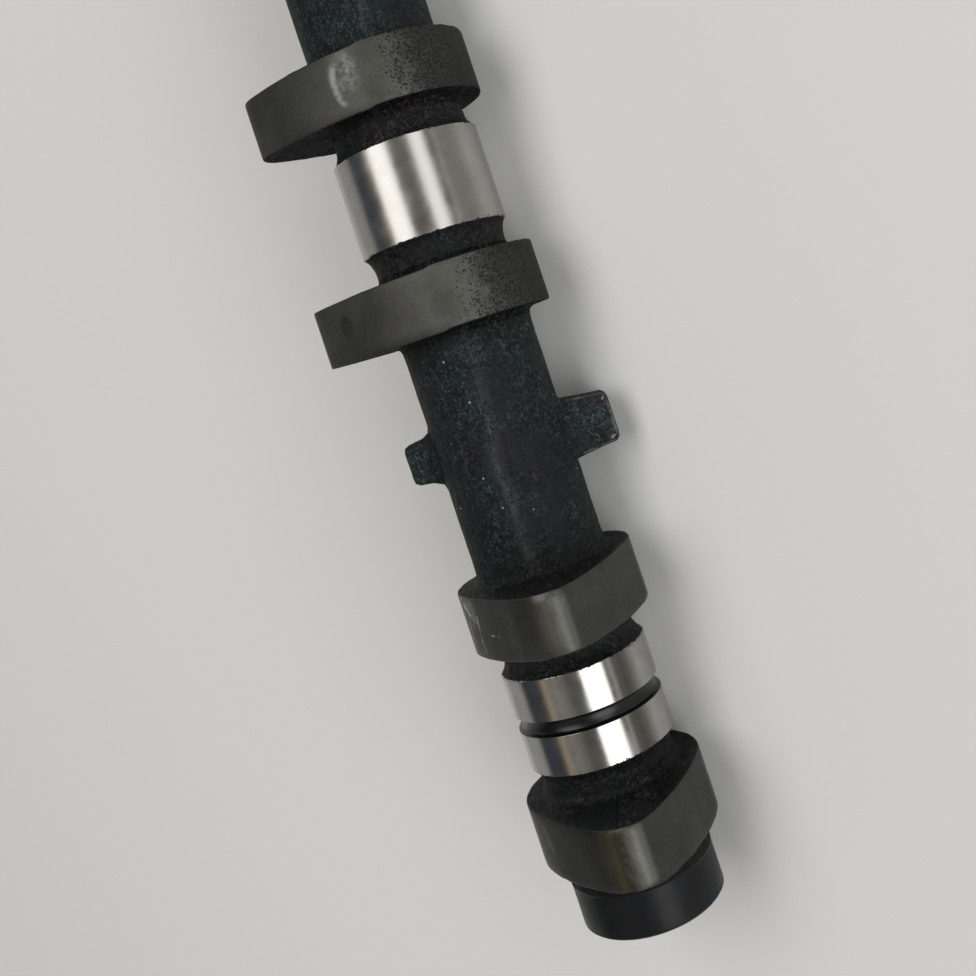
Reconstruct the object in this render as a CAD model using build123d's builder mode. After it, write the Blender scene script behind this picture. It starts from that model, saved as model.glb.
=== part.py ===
"""Intake camshaft of an inline four-cylinder engine, in millimetres.

One chilled-iron casting: a round cast bar that carries a bearing journal at each
cylinder, a pair of valve lobes astride each journal, two cast lugs in the rear bay,
a machined collar at the rear end and a plain drive nose at the front end.

The shaft lies along X, rolled as it comes to rest on its lobes. The origin is on its
axis at the thrust face, the front of the thrust collar, which holds the shaft endways.
The drive end is at -X and the rear end at +X.
"""
from build123d import *
import os
from math import atan2, degrees, radians, sqrt, tan

# Cylinders, numbered from the drive end
firing_order = (1, 3, 4, 2)
cylinder_pitch = 96.0

# Angle of the rear cylinder's noses above the horizontal, as the shaft settles
rear_nose_elevation = 47.6

# Cast bar
bar_radius = 12.15
root_splay = 1.2
front_bar_length = 21.55

# Journals, one at each cylinder centre
journal_radius = 13.5
journal_length = 17.5
journal_chamfer = 0.3
shoulder_length = 2.8

# Oil groove round the rear journal
groove_width = 2.6
groove_depth = 1.1
groove_slope = 0.4
groove_offset = 0.2

# Lobes, one each side of every journal
lobe_offset = 19.85
lobe_width = 11.2
base_radius = 16.4
valve_lift = 8.7
nose_radius = 6.3
flank_radius = 48.5
side_draft = 2.3
lobe_edge = 0.25

# Cast lugs in the rear bay, turned from the rear noses and shifted from mid-bay
lug_thickness = 7.0
lug_taper = 3.8
lug_corner = 1.2
lug_edge = 0.5
wide_lug_width = 10.8
wide_lug_reach = 20.7
wide_lug_root = 1.3
wide_lug_turn = -87.0
wide_lug_shift = 0.75
narrow_lug_width = 8.6
narrow_lug_reach = 17.7
narrow_lug_root = 2.0
narrow_lug_turn = 104.0
narrow_lug_shift = -1.4

# Rear end: a cast neck and the turned collar
rear_neck_length = 5.1
rear_neck_radius = 13.4
collar_radius = 13.2
collar_length = 8.2
collar_chamfer = 0.5
centre_pilot_radius = 2.0
centre_mouth_radius = 4.2
centre_depth = 9.0
centre_angle = 60

# Drive end
drive_nose_radius = 11.0
drive_nose_length = 18.0
drive_chamfer = 0.6
front_journal_length = 24.0
thrust_collar_radius = 17.5
thrust_collar_length = 5.0
bolt_hole_radius = 5.4
bolt_hole_depth = 32.0

# Stations along the shaft, from the thrust face
nose_seat = -front_journal_length
drive_face = nose_seat - drive_nose_length
first_cylinder = thrust_collar_length + front_bar_length + lobe_width / 2 + lobe_offset
cylinder_stations = [first_cylinder + n * cylinder_pitch for n in range(len(firing_order))]
rear_cylinder = cylinder_stations[-1]
rear_bay_middle = rear_cylinder - cylinder_pitch / 2
rear_neck_start = rear_cylinder + lobe_offset + lobe_width / 2
collar_start = rear_neck_start + rear_neck_length
rear_face = collar_start + collar_length

# Lobe profile: a base circle, two flanks and a nose, each tangent to the next
nose_centre = base_radius + valve_lift - nose_radius
flank_to_base = flank_radius - base_radius
flank_to_nose = flank_radius - nose_radius
flank_x = (flank_to_base**2 - flank_to_nose**2 + nose_centre**2) / (2 * nose_centre)
flank_y = sqrt(flank_to_base**2 - flank_x**2)
nose_end = degrees(atan2(flank_y, nose_centre - flank_x))
flank_end = degrees(atan2(flank_y, -flank_x))
flank_sweep = flank_end - nose_end
draft_slope = tan(radians(side_draft))
lobe_foot = lobe_width / 2 + draft_slope * (base_radius - bar_radius)


def nose_angle(cylinder):
    """Direction of a cylinder's noses about the shaft, in degrees from +Y towards +Z."""
    turns = firing_order.index(len(firing_order)) - firing_order.index(cylinder)
    return rear_nose_elevation + 360 * turns / len(firing_order)


def on_shaft(station, turn=0.0):
    """Place on the axis at a station, with the piece's own +Y turned about the shaft."""
    return Location((station, 0, 0), (turn, 0, 0))


def cast_lug(width, reach, root):
    """One lug that points along +Y: tapered sides, a rounded tip and a flared root."""
    seat = sqrt(bar_radius**2 - (lug_thickness / 2) ** 2)
    half_root = width / 2
    half_tip = half_root - tan(radians(lug_taper)) * (reach - seat)
    half_seat = half_root + 2 * root
    with BuildPart() as lug:
        with BuildSketch() as side:
            with BuildLine():
                Polyline(
                    (-half_seat, 0), (-half_seat, seat), (-half_root, seat), (-half_tip, reach),
                    (half_tip, reach), (half_root, seat), (half_seat, seat), (half_seat, 0),
                    close=True,
                )
            make_face()
            tip = side.vertices().group_by(Axis.Y)[-1]
            inner_corners = side.vertices().group_by(Axis.Y)[1].sort_by(Axis.X)[1:3]
            fillet(tip, lug_corner)
            fillet(inner_corners, root)
        extrude(amount=lug_thickness / 2, both=True)
        rims = lug.faces().filter_by(Axis.Z).edges()
        chamfer(rims.filter_by(lambda edge: edge.center().Y > bar_radius + root), lug_edge)
    return lug.part


# One lobe, nose along +Y: its ground rim is straight and its cast sides lean in
with BuildPart() as lobe:
    with BuildSketch(Plane.YZ):
        with BuildLine():
            CenterArc((nose_centre, 0), nose_radius, -nose_end, 2 * nose_end)
            CenterArc((flank_x, -flank_y), flank_radius, nose_end, flank_sweep)
            CenterArc((0, 0), base_radius, flank_end, 360 - 2 * flank_end)
            CenterArc((flank_x, flank_y), flank_radius, -flank_end, flank_sweep)
        make_face()
    extrude(amount=lobe_width, both=True)
    with BuildSketch():
        root_half = lobe_width / 2 + draft_slope * base_radius
        with BuildLine():
            Polyline((-root_half, 0), (0, root_half / draft_slope), (root_half, 0), close=True)
        make_face()
    revolve(axis=Axis.X, mode=Mode.INTERSECT)
    rim = lobe.faces().filter_by(GeomType.CYLINDER).edges()
    chamfer(rim.filter_by(Axis.X, reverse=True), lobe_edge)

# One journal: a ground band between two cast shoulders that sweep down to the bar
with BuildPart() as journal:
    with BuildSketch():
        half_band = journal_length / 2
        shoulder_end = half_band + shoulder_length
        with BuildLine():
            Polyline(
                (0, journal_radius),
                (half_band - journal_chamfer, journal_radius),
                (half_band, journal_radius - journal_chamfer),
            )
            TangentArc(
                (shoulder_end, bar_radius),
                (half_band, journal_radius - journal_chamfer),
                tangent=(-1, 0),
            )
            Polyline((shoulder_end, bar_radius), (shoulder_end, 0), (0, 0))
            mirror(about=Plane.YZ)
        make_face()
    revolve(axis=Axis.X)

# The cutter for the oil groove, a ring with sloped walls
with BuildPart() as groove:
    with BuildSketch():
        half_mouth = groove_width / 2
        half_floor = half_mouth - groove_slope
        floor = journal_radius - groove_depth
        rise = groove_depth * half_mouth / half_floor
        with BuildLine():
            Polyline(
                (-half_floor, floor), (half_floor, floor),
                (half_mouth, journal_radius), (half_mouth, journal_radius + rise),
                (-half_mouth, journal_radius + rise), (-half_mouth, journal_radius),
                close=True,
            )
        make_face()
    revolve(axis=Axis.X)

# The drive end: the nose that seats the drive wheel, the front journal and thrust collar
with BuildPart() as drive_end:
    with BuildSketch():
        with BuildLine():
            Polyline(
                (drive_face, 0),
                (drive_face, drive_nose_radius - drive_chamfer),
                (drive_face + drive_chamfer, drive_nose_radius),
                (nose_seat, drive_nose_radius),
                (nose_seat, journal_radius - drive_chamfer),
                (nose_seat + drive_chamfer, journal_radius),
                (0, journal_radius),
                (0, thrust_collar_radius),
                (thrust_collar_length, thrust_collar_radius),
                (thrust_collar_length, 0),
                close=True,
            )
        make_face()
    revolve(axis=Axis.X)
    with Locations(Plane(origin=(drive_face, 0, 0), z_dir=(-1, 0, 0))):
        Hole(bolt_hole_radius, bolt_hole_depth)

# The rear end: the rough neck behind the last lobe, the turned collar and its centre
with BuildPart() as rear_end:
    with BuildSketch(Plane.YZ.offset(rear_neck_start)):
        Circle(rear_neck_radius)
    extrude(amount=rear_neck_length)
    with BuildSketch(Plane.YZ.offset(collar_start)):
        Circle(collar_radius)
    extrude(amount=collar_length)
    end_face = rear_end.faces().sort_by(Axis.X)[-1]
    chamfer(end_face.edges(), collar_chamfer)
    with Locations(Plane(origin=(rear_face, 0, 0), z_dir=(1, 0, 0))):
        CounterSinkHole(centre_pilot_radius, centre_mouth_radius, centre_depth, centre_angle)

# The whole casting
with BuildPart() as camshaft:
    # Cast bar between the two ends
    with BuildSketch(Plane.YZ):
        Circle(bar_radius)
    extrude(amount=rear_neck_start)

    # Lobes, with a cast splay round each foot
    for number, station in enumerate(cylinder_stations, start=1):
        for offset in (-lobe_offset, lobe_offset):
            with Locations(on_shaft(station + offset, nose_angle(number))):
                add(lobe.part)
    feet = [
        station + offset + side * lobe_foot
        for station in cylinder_stations
        for offset in (-lobe_offset, lobe_offset)
        for side in (-1, 1)
    ]
    at_feet = camshaft.edges().filter_by(GeomType.CIRCLE).filter_by(
        lambda edge: min(abs(edge.arc_center.X - foot) for foot in feet) < 0.01
        and abs(edge.radius - bar_radius) < 0.01
    )
    chamfer(at_feet, root_splay)

    # Journals, the rear one with its oil groove
    for station in cylinder_stations:
        with Locations(on_shaft(station)):
            add(journal.part)
    with Locations(on_shaft(rear_cylinder + groove_offset)):
        add(groove.part, mode=Mode.SUBTRACT)

    # Lugs
    wide_lug_place = on_shaft(
        rear_bay_middle + wide_lug_shift, rear_nose_elevation + wide_lug_turn
    )
    with Locations(wide_lug_place):
        add(cast_lug(wide_lug_width, wide_lug_reach, wide_lug_root))
    narrow_lug_place = on_shaft(
        rear_bay_middle + narrow_lug_shift, rear_nose_elevation + narrow_lug_turn
    )
    with Locations(narrow_lug_place):
        add(cast_lug(narrow_lug_width, narrow_lug_reach, narrow_lug_root))

    # The two ends
    add(drive_end.part)
    add(rear_end.part)

camshaft.part.label = "camshaft"
os.makedirs("parts", exist_ok=True)
export_step(camshaft.part, "parts/camshaft.step")
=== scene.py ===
"""Looks of a cast camshaft: dark cast skin, grey ground lobes, bright ground journals and a black
turned collar, lying on a pale floor.

The shaft is one closed surface of rings round the X axis. Sizes below are in millimetres, in the
part's own frame; the mesh is in metres. Angles run about +X, from +Y towards +Z.
"""
import math

import bpy
import numpy as np
from mathutils import Matrix, Vector


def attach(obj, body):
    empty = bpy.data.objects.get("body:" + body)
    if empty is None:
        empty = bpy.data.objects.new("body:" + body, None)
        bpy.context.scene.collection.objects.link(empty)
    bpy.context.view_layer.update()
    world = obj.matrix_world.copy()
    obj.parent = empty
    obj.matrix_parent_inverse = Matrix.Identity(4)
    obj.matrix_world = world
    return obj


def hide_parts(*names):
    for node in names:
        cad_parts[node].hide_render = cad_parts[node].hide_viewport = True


MM = 0.001

# The mesh: its columns, and the rings of the bar ahead of each cylinder
COLUMNS = 224
BAR_RINGS = (6, 12, 30, 60)

# Factors that scramble the corners of random cubes
HASH_FACTORS = (73856093, 19349663, 83492791)

# Sizes of the shaft, as in the part
CYLINDER_STATIONS = (52.0, 148.0, 244.0, 340.0)
REAR_NOSE_ANGLE = 47.6
NOSE_ANGLES = (227.6, 317.6, 137.6, REAR_NOSE_ANGLE)
BAR_RADIUS = 12.15
FOOT_SPLAY = 1.2
JOURNAL_RADIUS = 13.5
HALF_JOURNAL = 8.75
SHOULDER_LENGTH = 2.8
LOBE_OFFSET = 19.85
HALF_LOBE = 5.6
BASE_RADIUS = 16.4
NOSE_RADIUS = 6.3
FLANK_RADIUS = 48.5
VALVE_LIFT = 8.7
SIDE_SLOPE = math.tan(math.radians(2.3))
NECK_START = 365.45
COLLAR_START = 370.55
LUG_THICKNESS = 7.0
LUG_SLOPE = math.tan(math.radians(3.8))
LUG_FOOT = 1.3
REAR_BAY_MIDDLE = 292.0
BOLT_HOLE_BOTTOM = -10.0
CENTRE_BOTTOM = 369.75

# Lugs: shift from mid-bay, turn from the rear noses, width, reach and flare of the foot
WIDE_LUG = (0.75, -87.0, 10.8, 20.7, 1.3)
NARROW_LUG = (-1.4, 104.0, 8.6, 17.7, 2.0)

# Finer shape, too small for the part
MOULD_LINE_ANGLE = 57.0
LOBE_EDGE = 0.22
MOULD_SHIFT = 0.3
MOULD_SLIP = 0.14
SKIN_SETBACK = 0.12

# Cast relief: layers of lumps, each with its height and size and its seed
BAR_RELIEF = ((0.10, 14.0, 3), (0.06, 5.0, 5), (0.035, 1.9, 7))
LOBE_RELIEF = ((0.16, 4.0, 11), (0.07, 1.5, 13))
SHOULDER_RELIEF = ((0.14, 3.0, 23), (0.10, 1.2, 29))
BORDER_RELIEF = ((0.07, 0.8, 31), (0.05, 3.0, 37))
NECK_RELIEF = ((0.16, 2.2, 41), (0.10, 1.1, 43))
LUG_RELIEF = ((0.10, 2.4, 47), (0.05, 1.1, 53))

# Colours
BAR_TONE = (0.0092, 0.0140, 0.0143)
BAR_LIGHT_TONE = (0.0118, 0.0172, 0.0175)
NECK_TONE = (0.0096, 0.0104, 0.0107)
SEAM_TONE = (0.054, 0.063, 0.064)
RIDGE_TONE = (0.115, 0.130, 0.130)
WORN_EDGE_TONE = (0.21, 0.225, 0.22)
SPECK_TONE = (0.30, 0.34, 0.34)
PIT_TONE = (0.010, 0.009, 0.009)
DENT_TONE = (0.012, 0.012, 0.009)
RUB_TONE = (0.62, 0.63, 0.62)
# painted dark reflection on the steel, low on its near side
PAINTED_REFLECTION_TONE = (0.030, 0.028, 0.022)


# Shape helpers


def column_angles():
    """Angles of the mesh's columns about the shaft, evenly spread."""
    return np.linspace(0.0, 2.0 * math.pi, COLUMNS, endpoint=False)


def lumps(x, y, z, size, seed):
    """Smooth random height from -1 to 1 in space: hashed values at the corners of cubes of the
    given size, blended across each cube with 3t^2 - 2t^3."""
    p = np.stack(np.broadcast_arrays(x, y, z), axis=-1) / size
    cell = np.floor(p).astype(np.int64)
    t = p - cell
    t = t * t * (3.0 - 2.0 * t)
    total = np.zeros(p.shape[:-1])
    for corner in range(8):
        step = np.array([corner & 1, corner >> 1 & 1, corner >> 2 & 1])
        mixed = np.bitwise_xor.reduce((cell + step) * HASH_FACTORS, axis=-1) + seed * 9176
        mixed = (mixed ^ (mixed >> 13)) * 1274126177 & 0x7FFFFFFF
        mixed = (mixed ^ (mixed >> 15)) & 0xFFFF
        weight = np.prod(np.where(step == 1, t, 1.0 - t), axis=-1)
        total += weight * (mixed / 32767.5 - 1.0)
    return total


def on_ring(x, radius):
    """Points of rings: (x, radius cos a, radius sin a) for each column angle a."""
    a = column_angles()
    x, radius = np.broadcast_arrays(x, radius)
    return x, radius * np.cos(a), radius * np.sin(a)


def relief(layers, x, y, z):
    """Height of the cast skin over the plain shape, in mm: its layers of lumps added up."""
    return sum(height * lumps(x, y, z, size, seed) for height, size, seed in layers)


def mould_step():
    """Offset of one mould half against the other: half the shift times cos(a - line), with its
    sign changing across the two mould lines."""
    a = column_angles() - math.radians(MOULD_LINE_ANGLE)
    return 0.5 * MOULD_SHIFT * np.cos(a) * np.tanh(np.sin(a) / 0.03)


def mould_slip():
    """How far along X each mould half has slipped, in mm: one way on one side of the mould line
    and the other way on the other side, with the sign of sin(a - line)."""
    a = column_angles() - math.radians(MOULD_LINE_ANGLE)
    return MOULD_SLIP * np.tanh(np.sin(a) / 0.02)


def lobe_outline(nose_angle):
    """Radius of the lobe at each column angle: nose arc, flank arcs and base circle, each tangent
    to the next, cut by the ray from the axis."""
    centre = BASE_RADIUS + VALVE_LIFT - NOSE_RADIUS
    to_base = FLANK_RADIUS - BASE_RADIUS
    to_nose = FLANK_RADIUS - NOSE_RADIUS
    fx = (to_base**2 - to_nose**2 + centre**2) / (2.0 * centre)
    fy = -math.sqrt(to_base**2 - fx**2)
    nose_turn = math.atan2(-fy, centre - fx)
    nose_limit = math.atan2(
        NOSE_RADIUS * math.sin(nose_turn), centre + NOSE_RADIUS * math.cos(nose_turn)
    )
    flank_limit = math.atan2(-fy, -fx)
    a = column_angles() - math.radians(nose_angle)
    a = np.abs((a + math.pi) % (2.0 * math.pi) - math.pi)
    nose = centre * np.cos(a) + np.sqrt(np.maximum(NOSE_RADIUS**2 - (centre * np.sin(a)) ** 2, 0.0))
    along = fx * np.cos(a) + fy * np.sin(a)
    flank = along + np.sqrt(FLANK_RADIUS**2 - fx**2 - fy**2 + along**2)
    return np.where(a < nose_limit, nose, np.where(a < flank_limit, flank, BASE_RADIUS))


class ShaftSurface:
    """Rings collected from the drive end to the rear end. Each ring has an x and a radius per
    column, and the finish of the faces between it and the ring before it."""

    def __init__(self):
        self.x = []
        self.radius = []
        self.finish = []

    def add(self, x, radius, finish):
        """Adds rings. x and radius are a number, a value per ring, a value per column for one
        ring, or (rings, columns)."""
        x, radius = (self.as_rings(value) for value in (x, radius))
        rings = max(x.shape[0], radius.shape[0])
        self.x.append(np.broadcast_to(x, (rings, COLUMNS)).copy())
        self.radius.append(np.broadcast_to(radius, (rings, COLUMNS)).copy())
        self.finish += [finish] * rings

    @staticmethod
    def as_rings(value):
        value = np.atleast_1d(np.asarray(value, float))
        if value.ndim == 2:
            return value
        return value[None, :] if len(value) == COLUMNS else value[:, None]

    def grid(self):
        return np.concatenate(self.x), np.concatenate(self.radius), np.array(self.finish)


# Finishes, in the order of finish_makers below
SKIN, LOBE, STEEL, GROOVE, COLLAR, TURNED, DULL_SKIN = range(7)


def add_bar(surface, start, end, rings):
    """Cast bar from start to end: radius = bar + relief + mould step - setback, easing to the
    plain radius at both ends."""
    ease_length = 1.2
    x = np.linspace(start, end, rings)[:, None]
    ease = np.clip(np.minimum(x - start, end - x) / ease_length, 0.0, 1.0)
    uneven = relief(BAR_RELIEF, *on_ring(x, BAR_RADIUS)) + mould_step()
    surface.add(x, BAR_RADIUS + ease * uneven - SKIN_SETBACK * ease, SKIN)


def add_lobe(surface, station, nose_angle, dense, side_finish):
    """One lobe: a hollow cast foot, a cast side that leans in by the draft, a small broken edge,
    the straight ground rim, and the same again in reverse."""
    outline = lobe_outline(nose_angle)
    half_root = HALF_LOBE + SIDE_SLOPE * BASE_RADIUS
    foot_steps, side_steps = (4, 5) if dense else (3, 3)
    break_depth, break_width = 0.08, 0.04

    turn = np.linspace(0.0, math.pi / 2.0, foot_steps)[:, None]
    foot_half = half_root - SIDE_SLOPE * (BAR_RADIUS + FOOT_SPLAY)
    foot_x = foot_half + FOOT_SPLAY * (1.0 - np.sin(turn))
    foot_radius = BAR_RADIUS + FOOT_SPLAY * (1.0 - np.cos(turn))
    share = np.linspace(0.0, 1.0, side_steps + 1)[1:, None]
    side_radius = BAR_RADIUS + FOOT_SPLAY + share * (outline - LOBE_EDGE - BAR_RADIUS - FOOT_SPLAY)
    side_x = half_root - SIDE_SLOPE * side_radius

    fade = np.concatenate([np.zeros((1, 1)), np.ones((foot_steps - 1, 1)), (1.0 - share) ** 0.5])
    near_x = np.concatenate([np.broadcast_to(foot_x, (foot_steps, COLUMNS)), side_x])
    near_radius = np.concatenate([np.broadcast_to(foot_radius, (foot_steps, COLUMNS)), side_radius])
    up_side = np.concatenate([np.zeros((foot_steps, 1)), share])
    for side in (-1.0, 1.0):
        rough = relief(LOBE_RELIEF, *on_ring(station + side * near_x, near_radius))
        x = station + side * (near_x + fade * (rough - SKIN_SETBACK)) + up_side * mould_slip()
        radius = near_radius + fade * mould_step() * (1.0 - up_side)
        rim_half = half_root - SIDE_SLOPE * outline
        at_rim = on_ring(station + side * rim_half, outline)
        nibble = relief([(0.11, 1.3, 17 + int(side))], *at_rim) + side * mould_slip()
        middle = station + side * np.array([[0.75], [0.0]]) * (rim_half - LOBE_EDGE)
        rim_radius = outline - np.array([[break_depth], [0.0]])
        rim = station + side * (rim_half - np.array([[break_width], [LOBE_EDGE]]) + nibble)
        if side < 0:
            surface.add(x[:1], radius[:1], SKIN)
            surface.add(x[1:], radius[1:], side_finish)
            surface.add(rim, rim_radius, LOBE)
            surface.add(middle, outline, LOBE)
        else:
            surface.add(middle[:1], outline, LOBE)
            surface.add(rim[::-1], rim_radius[::-1], LOBE)
            surface.add(x[-1:], radius[-1:], LOBE)
            surface.add(x[:-1][::-1], radius[:-1][::-1], side_finish)


def add_journal(surface, station, dense, grooved):
    """One journal: a cast shoulder that sweeps up from the bar, the straight ground band with its
    ragged cast border, and the shoulder down again. The rear one has an oil groove."""
    steps = 6 if dense else 4
    share = np.linspace(0.0, 1.0, steps)[:, None]
    shoulder_x = HALF_JOURNAL + SHOULDER_LENGTH * (1.0 - share)
    lip_drop = 0.25
    rise = JOURNAL_RADIUS - lip_drop - BAR_RADIUS
    shoulder_radius = BAR_RADIUS + rise * share**2
    hump = 4.0 * share * (1.0 - share)
    border_insets = (0.14, 0.19)

    def shoulder(side):
        x = station + side * shoulder_x
        rough = relief(SHOULDER_RELIEF, *on_ring(x, shoulder_radius))
        grown = shoulder_radius + hump * (rough - 0.10 + 0.6 * mould_step())
        ragged = relief(BORDER_RELIEF, *on_ring(station + side * HALF_JOURNAL, JOURNAL_RADIUS))
        return x + side * share**3 * ragged, grown, ragged

    left_x, left_radius, left_ragged = shoulder(-1.0)
    right_x, right_radius, right_ragged = shoulder(1.0)
    surface.add(left_x, left_radius, SKIN)
    for inset in border_insets:
        surface.add(station - HALF_JOURNAL + inset - left_ragged, JOURNAL_RADIUS, STEEL)
    if grooved:
        middle = station + 0.2
        border, lip, mouth = 1.46, 1.42, 1.34
        surface.add(np.array([station - 5.0, middle - border, middle - lip]), JOURNAL_RADIUS, STEEL)
        surface.add(middle - mouth, JOURNAL_RADIUS - 0.06, GROOVE)
        turn = np.linspace(0.0, math.pi, 9)[:, None]
        surface.add(
            middle - 1.3 * np.sign(np.cos(turn)) * np.abs(np.cos(turn)) ** 0.6,
            JOURNAL_RADIUS - 0.12 - 0.98 * np.sin(turn) ** 0.7,
            GROOVE,
        )
        mouth_radius = JOURNAL_RADIUS - np.array([0.06, 0.0])
        surface.add(middle + np.array([mouth, lip]), mouth_radius, GROOVE)
        surface.add(np.array([middle + border, station + 5.0]), JOURNAL_RADIUS, STEEL)
    else:
        surface.add(station + np.array([-5.0, 0.0, 5.0]), JOURNAL_RADIUS, STEEL)
    for inset in border_insets[::-1]:
        surface.add(station + HALF_JOURNAL - inset + right_ragged, JOURNAL_RADIUS, STEEL)
    surface.add(right_x[-1:], right_radius[-1:], STEEL)
    surface.add(right_x[:-1][::-1], right_radius[:-1][::-1], SKIN)


def add_drive_end(surface):
    """Bolt hole, drive face, nose, front journal and thrust collar, each with a broken edge."""
    profile = np.array(
        [
            (BOLT_HOLE_BOTTOM, 5.4), (-10.1, 5.4), (-41.5, 5.4), (-41.6, 5.4), (-42.0, 5.8),
            (-42.0, 5.9), (-42.0, 10.3), (-42.0, 10.4), (-41.4, 11.0), (-41.3, 11.0), (-24.1, 11.0),
            (-24.0, 11.05), (-24.0, 12.8), (-24.0, 12.9), (-23.4, 13.5), (-23.3, 13.5),
            (-12.0, 13.5), (-0.1, 13.5), (0.0, 13.6), (0.0, 17.0), (0.0, 17.1), (0.3, 17.45),
            (0.5, 17.5), (4.5, 17.5), (4.7, 17.45), (5.0, 17.1), (5.0, 17.0), (5.0, 13.3),
            (5.3, 12.6),
        ]
    )
    surface.add(profile[:-2, 0], profile[:-2, 1], TURNED)
    surface.add(profile[-2:, 0], profile[-2:, 1], SKIN)


def add_rear_end(surface):
    """Rough cast neck, black turned collar, end face and the turning centre in it."""
    x = np.linspace(NECK_START, COLLAR_START, 8)[:, None]
    rough = relief(NECK_RELIEF, *on_ring(x, 13.3))
    share = (x - NECK_START) / (COLLAR_START - NECK_START)
    fade = np.clip(4.0 * (1.0 - share), 0.0, 1.0) * np.clip(6.0 * share, 0.0, 1.0)
    surface.add(x[1:], (13.28 + fade * rough)[1:], SKIN)
    profile = np.array(
        [
            (370.65, 13.2), (371.0, 13.2), (374.0, 13.2), (378.1, 13.2), (378.25, 13.18),
            (378.68, 12.75), (378.75, 12.6), (378.75, 12.5), (378.75, 4.3), (378.75, 4.2),
            (378.65, 4.12), (375.0, 2.03), (374.9, 2.0), (369.85, 2.0), (CENTRE_BOTTOM, 1.95),
        ]
    )
    surface.add(profile[:, 0], profile[:, 1], COLLAR)


def raise_lug(points, shift, turn_from_noses, width, reach, flare):
    """Lifts a patch of the bar into a cast lug. A point lies at u along the shaft and at v round
    it, and t is the larger of their shares of the patch's half size. As t grows from 0 the point
    goes over the top, round its edge, down the tapered wall and out along the hollow foot to the
    bar at t = 1. Dividing the shares by their 8-norm rounds the corners."""
    station = REAR_BAY_MIDDLE + shift
    a = math.radians(REAR_NOSE_ANGLE + turn_from_noses)
    out = points[..., 1] * math.cos(a) + points[..., 2] * math.sin(a)
    across = -points[..., 1] * math.sin(a) + points[..., 2] * math.cos(a)
    turn = np.arctan2(across, out)
    u = points[..., 0] - station
    v = BAR_RADIUS * turn
    half_u = width / 2.0 + flare
    half_v = LUG_THICKNESS / 2.0 + LUG_FOOT
    share_u, share_v = u / half_u, v / half_v
    t = np.maximum(np.abs(share_u), np.abs(share_v))
    inside = t < 1.0
    safe = np.maximum(t, 1e-6)
    unit_u, unit_v = share_u / safe, share_v / safe
    norm = (np.abs(unit_u) ** 8 + np.abs(unit_v) ** 8) ** 0.125
    unit_u, unit_v = unit_u / norm, unit_v / norm

    seat = math.sqrt(BAR_RADIUS**2 - (LUG_THICKNESS / 2.0) ** 2)
    tip_u = width / 2.0 - LUG_SLOPE * (reach - seat)
    tip_v = LUG_THICKNESS / 2.0 - 0.15
    wall_u, wall_v = width / 2.0, LUG_THICKNESS / 2.0
    steps = np.array([
        (0.00, reach, 0.0, 0.0),
        (0.42, reach - 0.05, tip_u - 1.1, tip_v - 0.9),
        (0.50, reach - 0.22, tip_u - 0.5, tip_v - 0.42),
        (0.58, reach - 0.75, tip_u - 0.08, tip_v - 0.08),
        (0.66, reach - 1.5, tip_u, tip_v),
        (0.74, seat + 1.1 * flare, wall_u - 0.06 * flare, wall_v),
        (0.82, seat + 0.45 * flare, wall_u + 0.22 * flare, wall_v + 0.3),
        (0.91, seat + 0.12 * flare, wall_u + 0.6 * flare, wall_v + 0.75),
        (1.00, 0.0, half_u, half_v),
    ])
    knots, height, size_u, size_v = steps.T
    new_u = unit_u * np.interp(t, knots, size_u)
    new_v = unit_v * np.interp(t, knots, size_v)
    bar_height = np.sqrt(np.maximum(BAR_RADIUS**2 - np.minimum(np.abs(new_v), 11.0) ** 2, 0.0))
    lifted = np.interp(t, knots[:-1], height[:-1])
    settle_from, keep_from = 0.74, 0.86
    settle = np.clip((t - settle_from) / (1.0 - settle_from), 0.0, 1.0)
    settle = settle * settle * (3.0 - 2.0 * settle)
    new_out = lifted * (1.0 - settle) + bar_height * settle
    keep = np.clip((t - keep_from) / (1.0 - keep_from), 0.0, 1.0)
    new_u = new_u * (1.0 - keep) + u * keep
    new_v_kept = new_v * (1.0 - keep) + across * keep
    new_out = new_out * (1.0 - keep) + out * keep
    rough = relief(LUG_RELIEF, u + station, new_v, new_out)
    new_out = new_out + (1.0 - keep) * (rough - 0.08)
    y = new_out * math.cos(a) - new_v_kept * math.sin(a)
    z = new_out * math.sin(a) + new_v_kept * math.cos(a)
    lifted_points = np.stack([station + new_u, y, z], axis=-1)
    edge_at, edge_width = 0.5, 0.07
    worn = np.where(inside, np.exp(-(((t - edge_at) / edge_width) ** 2)), 0.0)
    return np.where(inside[..., None], lifted_points, points), worn


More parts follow.
